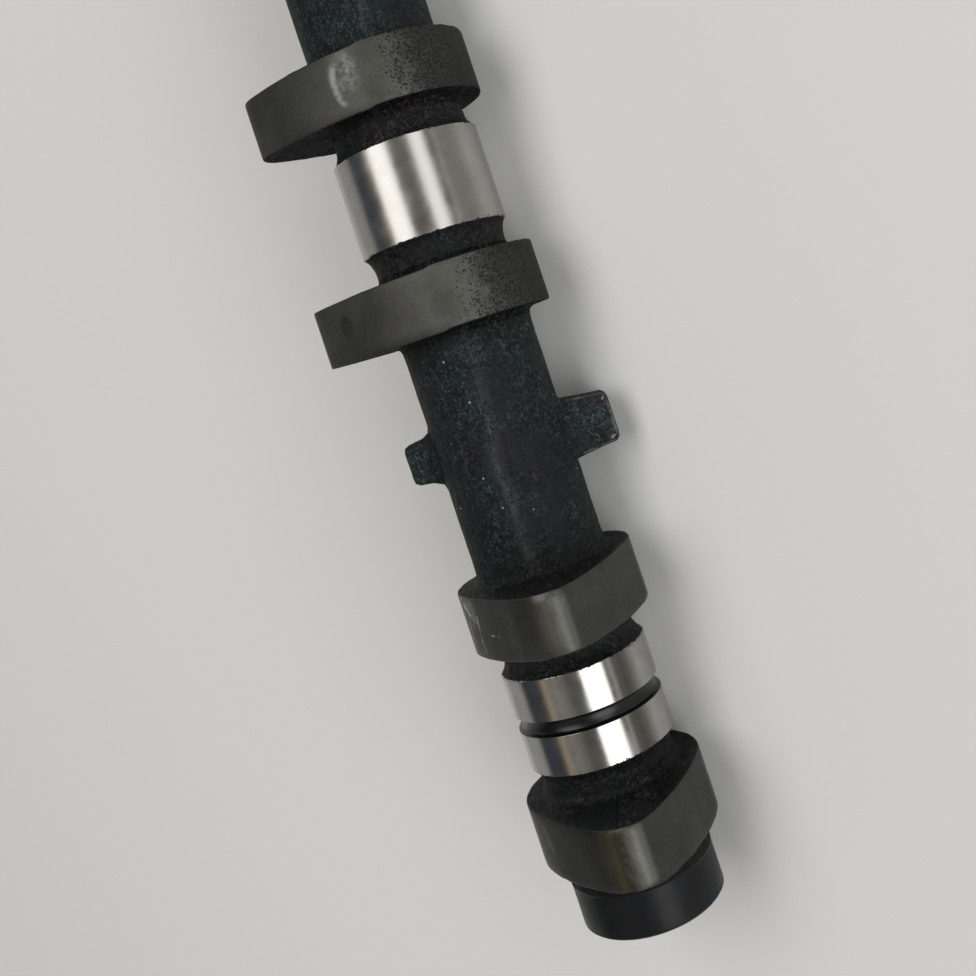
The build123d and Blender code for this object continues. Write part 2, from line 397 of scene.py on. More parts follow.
def shaft_mesh():
    """The closed surface of the whole shaft: rings joined by quads, and a pole at each end."""
    surface = ShaftSurface()
    add_drive_end(surface)
    half_pair = LOBE_OFFSET + HALF_LOBE + SIDE_SLOPE * (BASE_RADIUS - BAR_RADIUS) + FOOT_SPLAY
    inner_foot = LOBE_OFFSET - (half_pair - LOBE_OFFSET)
    shoulder_foot = HALF_JOURNAL + SHOULDER_LENGTH
    start, gap = 5.8, 0.05
    for number, station in enumerate(CYLINDER_STATIONS):
        dense = number > 1
        side_finish = SKIN if number == 3 else DULL_SKIN
        add_bar(surface, start, station - half_pair - gap, BAR_RINGS[number])
        add_lobe(surface, station - LOBE_OFFSET, NOSE_ANGLES[number], dense, side_finish)
        add_bar(surface, station - inner_foot + gap, station - shoulder_foot - 2.0 * gap, 3)
        add_journal(surface, station, dense, number == 3)
        add_bar(surface, station + shoulder_foot + 2.0 * gap, station + inner_foot - gap, 3)
        add_lobe(surface, station + LOBE_OFFSET, NOSE_ANGLES[number], dense, side_finish)
        start = station + half_pair + gap
    add_rear_end(surface)
    x, radius, finish = surface.grid()

    points = np.stack(on_ring(x, radius), axis=-1)
    points, wide_worn = raise_lug(points, *WIDE_LUG)
    points, narrow_worn = raise_lug(points, *NARROW_LUG)
    narrow_wear = 0.15
    worn = np.append((wide_worn + narrow_wear * narrow_worn).ravel(), [0.0, 0.0])
    steep = np.abs(np.gradient(radius, axis=0)) > 1.2 * np.abs(np.gradient(x, axis=0))
    steep = np.append(steep.astype(float).ravel(), [0.0, 0.0])

    rings = len(x)
    ring = np.arange(rings - 1)[:, None] * COLUMNS
    column = np.arange(COLUMNS)[None, :]
    after = (column + 1) % COLUMNS
    quads = [ring + column, ring + after, ring + COLUMNS + after, ring + COLUMNS + column]
    quads = np.stack(quads, -1).reshape(-1, 4)
    front_pole = rings * COLUMNS
    rear_pole = front_pole + 1
    column, after = column[0], after[0]
    last = (rings - 1) * COLUMNS
    front = np.stack([after, column, np.full(COLUMNS, front_pole)], -1)
    rear = np.stack([last + column, last + after, np.full(COLUMNS, rear_pole)], -1)
    poles = [(BOLT_HOLE_BOTTOM, 0.0, 0.0), (CENTRE_BOTTOM, 0.0, 0.0)]
    vertices = np.concatenate([points.reshape(-1, 3), poles])
    corners = np.concatenate([quads.ravel(), front.ravel(), rear.ravel()])
    sizes = np.concatenate([np.full(len(quads), 4), np.full(2 * COLUMNS, 3)])
    ends = [np.full(COLUMNS, TURNED), np.full(COLUMNS, COLLAR)]
    finishes = np.concatenate([np.repeat(finish[1:], COLUMNS), *ends])
    return vertices * MM, corners, sizes, finishes, {"worn_edge": worn, "steep_side": steep}


def new_object(name, data):
    """An object in the scene, at the origin."""
    item = bpy.data.objects.new(name, data)
    bpy.context.scene.collection.objects.link(item)
    return item


def mesh_object(name, vertices, corners, sizes, finishes, marks):
    """A smooth-shaded mesh object at the origin, filled through foreach_set."""
    mesh = bpy.data.meshes.new(name)
    mesh.vertices.add(len(vertices))
    mesh.vertices.foreach_set("co", vertices.astype(np.float32).ravel())
    mesh.loops.add(len(corners))
    mesh.loops.foreach_set("vertex_index", corners.astype(np.int32))
    mesh.polygons.add(len(sizes))
    starts = np.concatenate([[0], np.cumsum(sizes)[:-1]])
    mesh.polygons.foreach_set("loop_start", starts.astype(np.int32))
    mesh.polygons.foreach_set("loop_total", sizes.astype(np.int32))
    mesh.polygons.foreach_set("material_index", finishes.astype(np.int32))
    mesh.update(calc_edges=True)
    mesh.validate()
    for mark, values in marks.items():
        data = mesh.attributes.new(mark, "FLOAT", "POINT").data
        data.foreach_set("value", values.astype(np.float32))
    mesh.shade_smooth()
    return new_object(name, mesh)


# Finishes. Places are in metres, as the shader's coordinates are, except where a function says mm.


def new_material(name):
    """A material with an empty node tree, its shader and its output."""
    material = bpy.data.materials.new(name)
    material.use_nodes = True
    tree = material.node_tree
    tree.nodes.clear()
    shader = tree.nodes.new("ShaderNodeBsdfPrincipled")
    add_node(tree, "OutputMaterial", {"Surface": shader.outputs["BSDF"]})
    return material, tree, shader


def plug(tree, node, inputs):
    """Fills inputs of a node, by name or number, each with a number, a vector or a socket."""
    for name, value in inputs.items():
        if isinstance(value, (float, tuple)):
            node.inputs[name].default_value = value
        else:
            tree.links.new(value, node.inputs[name])


def add_node(tree, kind, inputs, **settings):
    """The outputs of a new node of a kind, with its settings made and its inputs filled."""
    node = tree.nodes.new("ShaderNode" + kind)
    for name, value in settings.items():
        setattr(node, name, value)
    plug(tree, node, inputs)
    return node.outputs


def here(tree):
    """Object coordinates of the surface point."""
    return add_node(tree, "TexCoord", {})["Object"]


def stretched(tree, scale):
    """Object coordinates times a scale along each axis."""
    return add_node(tree, "Mapping", {"Vector": here(tree), "Scale": scale})["Vector"]


def noise(tree, vector, scale, detail, roughness):
    """Noise texture on a vector."""
    return add_node(tree, "TexNoise", {
        "Vector": vector, "Scale": scale, "Detail": detail, "Roughness": roughness,
    })["Fac"]


def opaque(colour):
    """A colour with full opacity, from its three values or from one number for a grey."""
    return (*colour, 1.0) if isinstance(colour, tuple) else (colour, colour, colour, 1.0)


def ramp(tree, value, stops):
    """Colour ramp through (position, colour) stops."""
    node = tree.nodes.new("ShaderNodeValToRGB")
    elements = node.color_ramp.elements
    while len(elements) < len(stops):
        elements.new(0.5)
    for element, (position, colour) in zip(elements, stops):
        element.position = position
        element.color = opaque(colour)
    plug(tree, node, {"Fac": value})
    return node.outputs["Color"]


def maths(tree, operation, *values):
    """Math node on sockets or numbers."""
    return add_node(tree, "Math", dict(enumerate(values)), operation=operation)[0]


def product(tree, *values):
    """All the values multiplied together."""
    result = values[0]
    for value in values[1:]:
        result = maths(tree, "MULTIPLY", result, value)
    return result


def plus(tree, *values):
    """All the values added up."""
    result = values[0]
    for value in values[1:]:
        result = maths(tree, "ADD", result, value)
    return result


def minus(tree, first, second):
    """The first value less the second."""
    return maths(tree, "SUBTRACT", first, second)


def inverse(tree, value):
    """1 minus the value."""
    return minus(tree, 1.0, value)


def mix_colour(tree, factor, first, second, blend="MIX"):
    """Mixes two colours by a factor. Each may be a socket, a plain colour or a number for a grey,
    and the factor a socket or a number."""
    first, second = (
        opaque(value) if isinstance(value, (float, tuple)) else value for value in (first, second)
    )
    inputs = {0: factor, 6: first, 7: second}
    return add_node(tree, "Mix", inputs, data_type="RGBA", blend_type=blend)[2]


def bump(tree, height, distance, strength, under=None):
    """Bump from a height socket, on top of the one under it."""
    inputs = {"Height": height, "Distance": distance, "Strength": strength}
    if under is not None:
        inputs["Normal"] = under
    return add_node(tree, "Bump", inputs)["Normal"]


def between(tree, value, low, high):
    """0 at low, 1 at high, smooth between; low may be above high."""
    (start, at_start), (end, at_end) = sorted(((low, 0.0), (high, 1.0)))
    return add_node(tree, "MapRange", {
        "Value": value, "From Min": start, "From Max": end, "To Min": at_start, "To Max": at_end,
    }, interpolation_type="SMOOTHSTEP")["Result"]


def band(tree, value, low, start, end, high):
    """1 from start to end, falling to 0 at low and at high."""
    return product(tree, between(tree, value, low, start), between(tree, value, high, end))


def vector_maths(tree, operation, *values):
    """Vector math node on sockets or plain vectors. Gives its outputs, a vector and a value."""
    return add_node(tree, "VectorMath", dict(enumerate(values)), operation=operation)


def scaled(tree, vector, factor):
    """A plain vector times a socket."""
    return add_node(tree, "VectorMath", {0: vector, "Scale": factor}, operation="SCALE")[0]


def from_point(tree, centre):
    """Offset of the surface from a point given in mm."""
    return vector_maths(tree, "SUBTRACT", here(tree), tuple(c * MM for c in centre))[0]


def patch(tree, centre, size, softness):
    """1 inside an ellipsoid about centre with the given half sizes, in mm, falling to 0 outside."""
    share = vector_maths(tree, "DIVIDE", from_point(tree, centre), tuple(c * MM for c in size))[0]
    distance = vector_maths(tree, "LENGTH", share)["Value"]
    return between(tree, distance, 1.0 + softness, 1.0 - softness)


def beyond(tree, point, direction, low, high):
    """0 at low and 1 at high, in mm, along a direction from a point; low may be above high."""
    distance = vector_maths(tree, "DOT_PRODUCT", from_point(tree, point), direction)["Value"]
    return between(tree, distance, low * MM, high * MM)


def stroke(tree, start, end, half_width, keep=(1.0, 1.0, 1.0)):
    """1 within half_width of the line from start to end, in mm, falling to 0 outside. The foot of
    the surface point on the line is start + t (end - start), with t kept from 0 to 1. keep says
    how much of the offset counts along X, Y and Z."""
    offset = vector_maths(tree, "MULTIPLY", from_point(tree, start), keep)[0]
    along = (Vector(end) - Vector(start)) * Vector(keep) * MM
    t = vector_maths(tree, "DOT_PRODUCT", offset, tuple(along / along.length_squared))["Value"]
    t = maths(tree, "MAXIMUM", maths(tree, "MINIMUM", t, 1.0), 0.0)
    gap = vector_maths(tree, "SUBTRACT", offset, scaled(tree, tuple(along), t))[0]
    distance = vector_maths(tree, "LENGTH", gap)["Value"]
    reach, softness = half_width * MM, 0.6
    return between(tree, distance, reach * (1.0 + softness), reach * (1.0 - softness))


def strokes(tree, lines, uneven):
    """Rubs along lines. Each line has its start, end, half width and amount. Gives the share that
    is rubbed, broken up by an uneven one, and the amount."""
    return [
        (product(tree, stroke(tree, start, end, half_width), uneven), amount)
        for start, end, half_width, amount in lines
    ]


def rubbed(tree, tone, rubs, colour):
    """The tone with rubs over it, each with its share and its amount."""
    for share, amount in rubs:
        factor = maths(tree, "MINIMUM", product(tree, share, amount), 1.0)
        tone = mix_colour(tree, factor, tone, colour)
    return tone


def cells(tree, vector, scale):
    """Cells in space: the distance to the cell's heart, and two random values of the cell."""
    cell = add_node(tree, "TexVoronoi", {"Vector": vector, "Scale": scale})
    pick = add_node(tree, "SeparateColor", {"Color": cell["Color"]})
    return cell["Distance"], pick[0], pick[1]


def marked(tree, name):
    """A mark that the mesh carries at its points."""
    return add_node(tree, "Attribute", {}, attribute_name=name)["Fac"]


def grain_place(tree):
    """Object coordinates for the cast grain. On the steep sides of the lobes they are squeezed
    along the nose direction d, by taking 0.55 (v . d) d off, which lengthens the grain there."""
    vector = here(tree)
    turn = math.radians(REAR_NOSE_ANGLE)
    along = (0.0, math.cos(turn), math.sin(turn))
    share = vector_maths(tree, "DOT_PRODUCT", vector, along)["Value"]
    steep = maths(tree, "GREATER_THAN", marked(tree, "steep_side"), 0.5)
    taken = scaled(tree, along, product(tree, share, steep, 0.55))
    return vector_maths(tree, "SUBTRACT", vector, taken)[0]


def toned(tree, tone, factor, level):
    """The tone, multiplied by a level as far as the factor goes."""
    return mix_colour(tree, 1.0, tone, mix_colour(tree, factor, 1.0, level), "MULTIPLY")


def axes(tree):
    """The surface point's X, Y and Z in the shaft's frame, in metres."""
    split = add_node(tree, "SeparateXYZ", {"Vector": here(tree)})
    return split["X"], split["Y"], split["Z"]


def share_between(tree, value, start, end):
    """How far a value has come from start to end, as a share."""
    return maths(tree, "DIVIDE", minus(tree, value, start), end - start)


def off_plane(tree, y, z, angle):
    """Distance across the shaft from the plane through its axis at an angle, in metres."""
    turn = math.radians(angle)
    return minus(tree, product(tree, z, math.cos(turn)), product(tree, y, math.sin(turn)))


def down_side(tree, y, z):
    """How far down the shaft's near side a point lies: y - 0.85 z, in metres."""
    return minus(tree, y, product(tree, z, 0.85))


def from_cylinder(tree, x):
    """Distance along the shaft from the nearest cylinder's middle, in metres."""
    first, second = CYLINDER_STATIONS[:2]
    half_pitch = (second - first) * MM / 2.0
    return maths(tree, "PINGPONG", minus(tree, x, first * MM), half_pitch)


def cast_tone(tree):
    """Colour of the cast skin: blue-green black on the bar and browner black between the lobes,
    with sandy grain that is paler along the mould line, worn lug edges and a few bright specks.
    A crack parts a smooth area from a sandy one on the last lobe's side. Gives the colour and
    the heights of the fine and the coarse grain."""
    vector = here(tree)
    x, y, z = axes(tree)
    squeezed = grain_place(tree)
    patches = noise(tree, vector, 85.0, 4.0, 0.6)
    coarse = noise(tree, squeezed, 420.0, 3.0, 0.6)
    fine = noise(tree, squeezed, 2500.0, 2.0, 0.7)
    sand = cells(tree, squeezed, 2600.0)[1]
    grain = plus(
        tree, product(tree, fine, 0.45), product(tree, sand, 0.30), product(tree, coarse, 0.35)
    )

    crack_start, crack_end = (354.0, 8.8, 10.1), (354.0, 15.8, 20.2)
    off_crack, up_side = (0.0, 0.82, -0.57), (0.0, 0.548, 0.836)
    last_side = band(tree, x, 0.3531, 0.3534, 0.3550, 0.3553)
    left_side = product(tree, last_side, beyond(tree, crack_start, off_crack, 0.05, -0.15))
    right_side = product(tree, last_side, beyond(tree, crack_start, off_crack, -0.15, 0.05))
    near_crack = beyond(tree, crack_start, off_crack, 7.5, 4.5)
    outer = beyond(tree, (354.0, 8.0, 10.3), up_side, -0.6, 1.6)
    smooth_side = product(tree, left_side, outer)

    calm = between(tree, noise(tree, vector, 150.0, 3.0, 0.6), 0.46, 0.66)
    calm = maths(tree, "MAXIMUM", calm, product(tree, smooth_side, 1.15))
    grain = plus(tree, grain, product(tree, minus(tree, 0.55, grain), calm, 0.75))

    bar = ramp(tree, patches, [
        (0.37, (0.0133, 0.0130, 0.0156)), (0.47, BAR_TONE), (0.66, BAR_LIGHT_TONE),
    ])
    neck = ramp(tree, patches, [
        (0.36, (0.0125, 0.0115, 0.0123)), (0.50, NECK_TONE), (0.64, (0.0098, 0.0130, 0.0136)),
    ])
    wander = product(tree, minus(tree, patches, 0.5), 0.014)
    in_pair = between(tree, plus(tree, from_cylinder(tree, x), wander), 0.030, 0.026)
    in_pair = maths(tree, "MAXIMUM", in_pair, between(tree, x, 0.364, 0.366))
    base = mix_colour(tree, in_pair, bar, neck)
    base = mix_colour(tree, smooth_side, base, (0.0100, 0.0124, 0.0134))
    light = ramp(tree, grain, [
        (0.40, 0.36), (0.54, 0.86), (0.64, (1.70, 1.65, 1.64)), (0.76, (4.2, 3.9, 3.85)),
    ])
    tone = mix_colour(tree, 1.0, base, light, "MULTIPLY")

    radius = maths(tree, "SQRT", plus(tree, product(tree, y, y), product(tree, z, z)))
    above_bar = between(tree, radius, 0.0132, 0.0155)
    for where, level in (
        (product(tree, right_side, near_crack), 1.55),
        (product(tree, right_side, inverse(tree, near_crack)), 0.85),
        (product(tree, left_side, inverse(tree, smooth_side)), 1.4),
        (between(tree, x, 0.282, 0.312), 0.82),
        # painted shade: the neck between the last lobe and the collar is darkened to 0.45 of its
        # tone
        (between(tree, x, 0.3652, 0.3660), 0.45),
        (product(tree, above_bar, band(tree, x, 0.275, 0.278, 0.307, 0.310)), (1.42, 1.36, 1.34)),
    ):
        tone = toned(tree, tone, where, level)

    drift = product(tree, between(tree, x, 0.300, 0.268), 0.0026)
    bend = product(tree, minus(tree, noise(tree, vector, 60.0, 2.0, 0.5), 0.5), 0.005)
    off_line = plus(tree, off_plane(tree, y, z, MOULD_LINE_ANGLE + 2.0), drift, bend)
    gap = maths(tree, "ABSOLUTE", off_line)
    seam = product(tree, between(tree, gap, 0.0021, 0.0),
                   between(tree, grain, 0.30, 0.66), inverse(tree, in_pair))
    tone = mix_colour(tree, product(tree, seam, 0.42), tone, SEAM_TONE)
    ridge = product(tree, between(tree, gap, 0.00050, 0.0001),
                    between(tree, coarse, 0.40, 0.56), between(tree, fine, 0.42, 0.60),
                    band(tree, x, 0.279, 0.288, 0.302, 0.306))
    tone = mix_colour(tree, product(tree, ridge, 0.34), tone, RIDGE_TONE)
    off_joint = maths(tree, "ABSOLUTE", minus(tree, off_line, 0.0008))
    joint = product(tree, between(tree, off_joint, 0.00022, 0.00008),
                    between(tree, patches, 0.50, 0.56))
    tone = mix_colour(tree, product(tree, joint, 0.4), tone, 0.003)

    crack = stroke(tree, crack_start, crack_end, 0.15, (0.0, 1.0, 1.0))
    crack = product(tree, crack, last_side, between(tree, coarse, 0.30, 0.48), 0.9)
    tone = mix_colour(tree, crack, tone, 0.0015)

    uneven = between(tree, coarse, 0.36, 0.6)
    rubs = [(product(tree, marked(tree, "worn_edge"), uneven), 0.45)]
    rubs += strokes(tree, (
        ((288.3, 17.4, -10.3), (287.8, 12.5, -6.1), 0.22, 0.30),
        ((288.8, 17.6, -10.5), (296.8, 17.6, -10.5), 0.20, 0.36),
        ((297.2, 17.4, -10.3), (297.7, 12.5, -6.1), 0.22, 0.30),
        ((289.2, 17.3, -10.1), (289.5, 17.1, -9.9), 0.12, 1.5),
        ((296.3, 17.2, -10.0), (296.6, 16.8, -9.6), 0.15, 2.2),
    ), between(tree, coarse, 0.28, 0.50))
    tone = rubbed(tree, tone, rubs, WORN_EDGE_TONE)

    heart, chosen, size = cells(tree, vector, 520.0)
    speck = maths(tree, "LESS_THAN", heart, product(tree, size, 0.11))
    chosen = maths(tree, "GREATER_THAN", chosen, 0.66)
    speck = product(tree, speck, chosen, inverse(tree, in_pair))
    return mix_colour(tree, speck, tone, SPECK_TONE), grain, coarse


def cast_skin(name="cast_skin", gloss=0.14):
    """As-cast iron: near black with a blue-green cast, sandy grain and a few bright specks."""
    material, tree, shader = new_material(name)
    tone, grain, coarse = cast_tone(tree)
    normal = bump(tree, grain, 0.00034, 0.9, bump(tree, coarse, 0.0007, 0.8))
    plug(tree, shader, {
        "Base Color": tone, "Roughness": 0.6, "Specular IOR Level": gloss, "Normal": normal,
    })
    return material


def dull_skin():
    """The same skin without its faint gloss, for the sides of the lobes ahead of the rear pair."""
    return cast_skin("dull_skin", 0.02)


def lobe_pits(tree, vector, damp):
    """Rust pits: dark blots of uneven outline where fine noise is over a limit that falls as damp
    grows. Gives 1 in a pit."""
    blots = maths(tree, "MAXIMUM", noise(tree, vector, 2250.0, 0.5, 0.5),
                  minus(tree, noise(tree, vector, 3300.0, 0.5, 0.5), 0.02))
    limit = minus(tree, 0.74, product(tree, damp, 0.17))
    over = minus(tree, blots, limit)
    return product(tree, between(tree, over, -0.07, 0.10), between(tree, damp, 0.02, 0.25))


def ground_lobe():
    """Lobe rim: dark grey ground iron with painted highlight and painted shade bands, faint
    grinding lines round it, rust pits and a darker haze that is partly rust and partly painted
    shade on one side of the pairs ahead of the rear one, a test dent and pale rubs."""
    material, tree, shader = new_material("ground_lobe")
    vector = here(tree)
    x, y, z = axes(tree)
    lines = noise(tree, stretched(tree, (2600.0, 60.0, 60.0)), 1.0, 2.0, 0.5)
    cloud = noise(tree, vector, 130.0, 4.0, 0.6)
    grain = noise(tree, vector, 2300.0, 3.0, 0.7)
    coarse = noise(tree, vector, 420.0, 3.0, 0.6)
    base = ramp(tree, cloud, [(0.3, (0.086, 0.086, 0.076)), (0.7, (0.136, 0.136, 0.124))])
    flecks = ramp(tree, grain, [(0.38, 0.90), (0.62, 1.10)])
    base = mix_colour(tree, 1.0, base, flecks, "MULTIPLY")

    lower = down_side(tree, y, z)
    ahead = between(tree, x, 0.292, 0.288)
    # Painted highlight and painted shade on the pairs ahead of the rear one: lighter or darker by
    # their place round the shaft
    painted_light_bands = ramp(tree, share_between(tree, lower, -0.034, 0.008), [
        (0.02, 0.59), (0.24, 0.44), (0.38, 0.41), (0.51, 0.44), (0.61, 0.53), (0.69, 0.67),
        (0.77, 0.75), (1.0, 0.80),
    ])
    across = off_plane(tree, y, z, REAR_NOSE_ANGLE)
    # Painted highlight on the rear pair's noses, with painted shade on either side of it
    rear_painted_highlight = ramp(tree, share_between(tree, across, -0.006, 0.008), [
        (0.0, 0.46), (0.13, 0.46), (0.27, 0.40), (0.34, 0.42), (0.41, 0.82), (0.47, 1.20),
        (0.53, 0.84), (0.60, 0.62), (0.70, 0.65), (0.79, 0.49), (0.86, 0.44),
    ])
    last_lobe_painted_shade = product(tree, between(tree, x, 0.345, 0.350), between(tree, across, 0.0040, 0.0068))
    # The painted highlight is widened on the rear pair's first lobe and dimmed on the last lobe's
    # nose. A painted brown reflection sits beside it, and painted shade covers the last lobe's
    # left.
    for where, level in (
        (patch(tree, (320.2, 15.9, 19.3), (7.5, 1.3, 1.3), 0.5), 1.30),
        (patch(tree, (360.0, 15.0, 19.7), (7.5, 1.1, 0.9), 0.5), 0.55),
        (patch(tree, (360.0, 13.8, 20.2), (7.5, 2.4, 1.6), 0.5), (0.99, 0.87, 0.64)),
        (last_lobe_painted_shade, (0.67, 0.66, 0.59)),
    ):
        rear_painted_highlight = toned(tree, rear_painted_highlight, where, level)
    painted_light_bands = mix_colour(tree, ahead, rear_painted_highlight, painted_light_bands)
    base = mix_colour(tree, 1.0, base, painted_light_bands, "MULTIPLY")

    wander = product(tree, minus(tree, coarse, 0.5), 0.014)
    nearer = product(tree, between(tree, x, 0.248, 0.240), 0.0016)
    lower = plus(tree, lower, wander, nearer)
    damp = product(tree, between(tree, lower, -0.0005, 0.0115), ahead)
    # Darker haze on the lower near side of the pairs ahead of the rear one: partly rust, partly
    # painted shade
    rust_and_shade_depth = product(tree, between(tree, lower, 0.0030, 0.0130), ahead)
    mottle = between(tree, grain, 0.30, 0.62)
    rust_and_shade_haze = mix_colour(tree, mottle, (0.0145, 0.0143, 0.0147), (0.037, 0.037, 0.0365))
    base = mix_colour(tree, product(tree, rust_and_shade_depth, 0.78), base, rust_and_shade_haze)
    pit = lobe_pits(tree, vector, damp)
    pit = product(tree, pit, inverse(tree, product(tree, rust_and_shade_depth, 0.25)))
    base = mix_colour(tree, product(tree, pit, 0.84), base, PIT_TONE)

    rim = patch(tree, (263.2, -9.2, 18.9), (1.9, 1.3, 1.7), 0.35)
    heart = patch(tree, (263.5, -8.9, 18.9), (1.3, 0.9, 1.3), 0.5)
    dent = minus(tree, rim, product(tree, heart, 0.45))
    base = mix_colour(tree, product(tree, dent, 0.55), base, DENT_TONE)

    broken = between(tree, noise(tree, vector, 900.0, 3.0, 0.6), 0.34, 0.66)
    uneven = between(tree, coarse, 0.30, 0.55)
    curve = vector_maths(tree, "LENGTH", from_point(tree, (224.3, 10.0, 13.5)))["Value"]
    curve = maths(tree, "ABSOLUTE", minus(tree, curve, 0.0066))
    smear = product(tree, between(tree, curve, 0.00095, 0.00015),
                  patch(tree, (224.4, 4.0, 16.0), (3.6, 2.6, 2.0), 0.25))
    rubs = [(product(tree, smear, uneven), 0.22)]
    for centre, size, amount in (
        ((222.6, 6.2, 15.2), (3.4, 2.6, 2.6), 0.10),
        ((222.0, 7.2, 14.7), (2.2, 1.0, 1.4), 0.10),
        ((317.0, -6.0, 15.2), (2.6, 2.6, 2.4), 0.26),
        ((320.0, 6.8, 19.5), (4.4, 1.8, 1.6), 0.03),
        ((360.0, 15.6, 19.4), (4.5, 1.2, 1.2), 0.07),
    ):
        rubs.append((product(tree, patch(tree, centre, size, 0.45), broken), amount))
    rubs += strokes(tree, (
        ((315.0, -8.3, 14.1), (316.6, -7.6, 14.5), 0.42, 0.80),
        ((316.6, -7.6, 14.5), (317.8, -6.2, 15.2), 0.30, 0.70),
        ((317.8, -6.2, 15.2), (319.3, -3.9, 16.3), 0.18, 0.55),
        ((318.0, -3.3, 16.5), (320.6, -3.9, 16.2), 0.16, 0.75),
        ((320.6, -3.9, 16.2), (322.8, -4.4, 16.0), 0.15, 0.66),
        ((322.8, -4.4, 16.0), (324.6, -4.0, 16.2), 0.14, 0.55),
        ((319.3, -7.5, 14.6), (324.2, -8.7, 13.8), 0.15, 0.60),
        ((321.2, 0.1, 17.8), (321.3, 2.4, 18.5), 0.16, 0.45),
        ((357.2, -4.8, 15.7), (360.3, -3.7, 16.0), 0.85, 0.10),
        ((362.3, 0.0, 16.4), (363.8, 1.5, 16.4), 0.30, 0.11),
    ), uneven)
    base = rubbed(tree, base, rubs, RUB_TONE)

    rough = plus(tree, product(tree, ahead, 0.16), product(tree, rust_and_shade_depth, 0.10))
    rough = plus(tree, rough, product(tree, cloud, 0.08), 0.25)
    normal = bump(tree, grain, 0.000012, 0.6, bump(tree, lines, 0.00001, 0.5))
    hollow = product(tree, maths(tree, "MAXIMUM", pit, product(tree, rim, 0.6)), -1.0)
    plug(tree, shader, {
        "Base Color": base, "Metallic": 0.6, "Roughness": rough, "Specular IOR Level": 0.30,
        "Specular Tint": opaque(0.45), "Normal": bump(tree, hollow, 0.00012, 0.8, normal),
    })
    return material


def steel_tone(tree):
    """Colour and gloss of ground steel: (colour, roughness, normal). A band low on the near side is
    darkened as a painted dark reflection, more on the rear journal.
    """
    lines = noise(tree, stretched(tree, (5200.0, 45.0, 45.0)), 1.0, 3.0, 0.6)
    cloud = noise(tree, here(tree), 230.0, 4.0, 0.65)
    base = ramp(tree, cloud, [(0.3, (0.345, 0.330, 0.305)), (0.7, (0.405, 0.398, 0.382))])
    x, y, z = axes(tree)
    rear = between(tree, x, 0.30, 0.32)
    rough = ramp(tree, cloud, [(0.3, 0.20), (0.7, 0.28)])
    rough = minus(tree, rough, product(tree, rear, 0.07))
    lower = down_side(tree, y, z)
    # Painted dark reflection: a band low on the near side, at 0.44 ahead of the rear journal and
    # 0.82 on it
    painted_dark_reflection = ramp(tree, maths(tree, "DIVIDE", lower, 0.016), [
        (0.46, 0.0), (0.54, 0.9), (0.64, 1.0), (0.73, 0.8), (0.86, 0.0),
    ])
    share = mix_colour(tree, rear, 0.44, 0.82)
    painted_dark_reflection = mix_colour(tree, 1.0, painted_dark_reflection, share, "MULTIPLY")
    base = mix_colour(tree, painted_dark_reflection, base, PAINTED_REFLECTION_TONE)
    grain = noise(tree, here(tree), 2400.0, 2.0, 0.6)
    under = bump(tree, lines, 0.000006, 0.5)
    return base, rough, bump(tree, grain, 0.000006, 0.6, under)


def bright_journal():
    """Ground journal: bright metal with fine lines round the shaft. Cast skin bites into the last
    third of a millimetre at each end of the band, where the noise is above its distance inside."""
    material, tree, shader = new_material("bright_journal")
    base, rough, normal = steel_tone(tree)
    along = from_cylinder(tree, axes(tree)[0])
    inside = minus(tree, HALF_JOURNAL * MM, along)
    bite = noise(tree, here(tree), 1300.0, 3.0, 0.75)
    reach = product(tree, minus(tree, bite, 0.5), 2.8 * MM)
    bitten = between(tree, minus(tree, inside, reach), 0.06 * MM, 0.0)
    skin = cast_tone(tree)[0]
    plug(tree, shader, {
        "Base Color": mix_colour(tree, bitten, base, skin), "Metallic": inverse(tree, bitten),
        "Roughness": mix_colour(tree, bitten, rough, 0.6), "Normal": normal,
    })
    return material


def turned_steel():
    """Drive end: the same ground steel, without the cast border."""
    material, tree, shader = new_material("turned_steel")
    base, rough, normal = steel_tone(tree)
    plug(tree, shader, {
        "Base Color": base, "Metallic": 1.0, "Roughness": rough, "Normal": normal,
    })
    return material


def turning_lines(tree):
    """Fine uneven lines round the shaft, as turning leaves them."""
    return noise(tree, stretched(tree, (3200.0, 50.0, 50.0)), 1.0, 2.0, 0.5)


def dark_groove():
    """Turned groove: dark metal with a soft highlight and faint turning lines."""
    material, tree, shader = new_material("dark_groove")
    lines = turning_lines(tree)
    tone = ramp(tree, lines, [(0.3, (0.024, 0.0245, 0.025)), (0.7, (0.036, 0.0365, 0.0365))])
    plug(tree, shader, {
        "Base Color": tone, "Metallic": 0.9, "Roughness": 0.28,
        "Normal": bump(tree, lines, 0.000008, 0.4),
    })
    return material


def black_collar():
    """Turned collar with a smooth blue-black finish, slightly clouded."""
    material, tree, shader = new_material("black_collar")
    cloud = noise(tree, here(tree), 260.0, 4.0, 0.6)
    tone = ramp(tree, cloud, [(0.36, (0.0092, 0.0088, 0.0096)), (0.62, (0.0080, 0.0104, 0.0120))])
    rough = ramp(tree, cloud, [(0.3, 0.30), (0.7, 0.42)])
    plug(tree, shader, {
        "Base Color": tone, "Roughness": rough, "Specular IOR Level": 0.15,
        "Normal": bump(tree, turning_lines(tree), 0.000008, 0.4),
    })
    return material


# The shaft


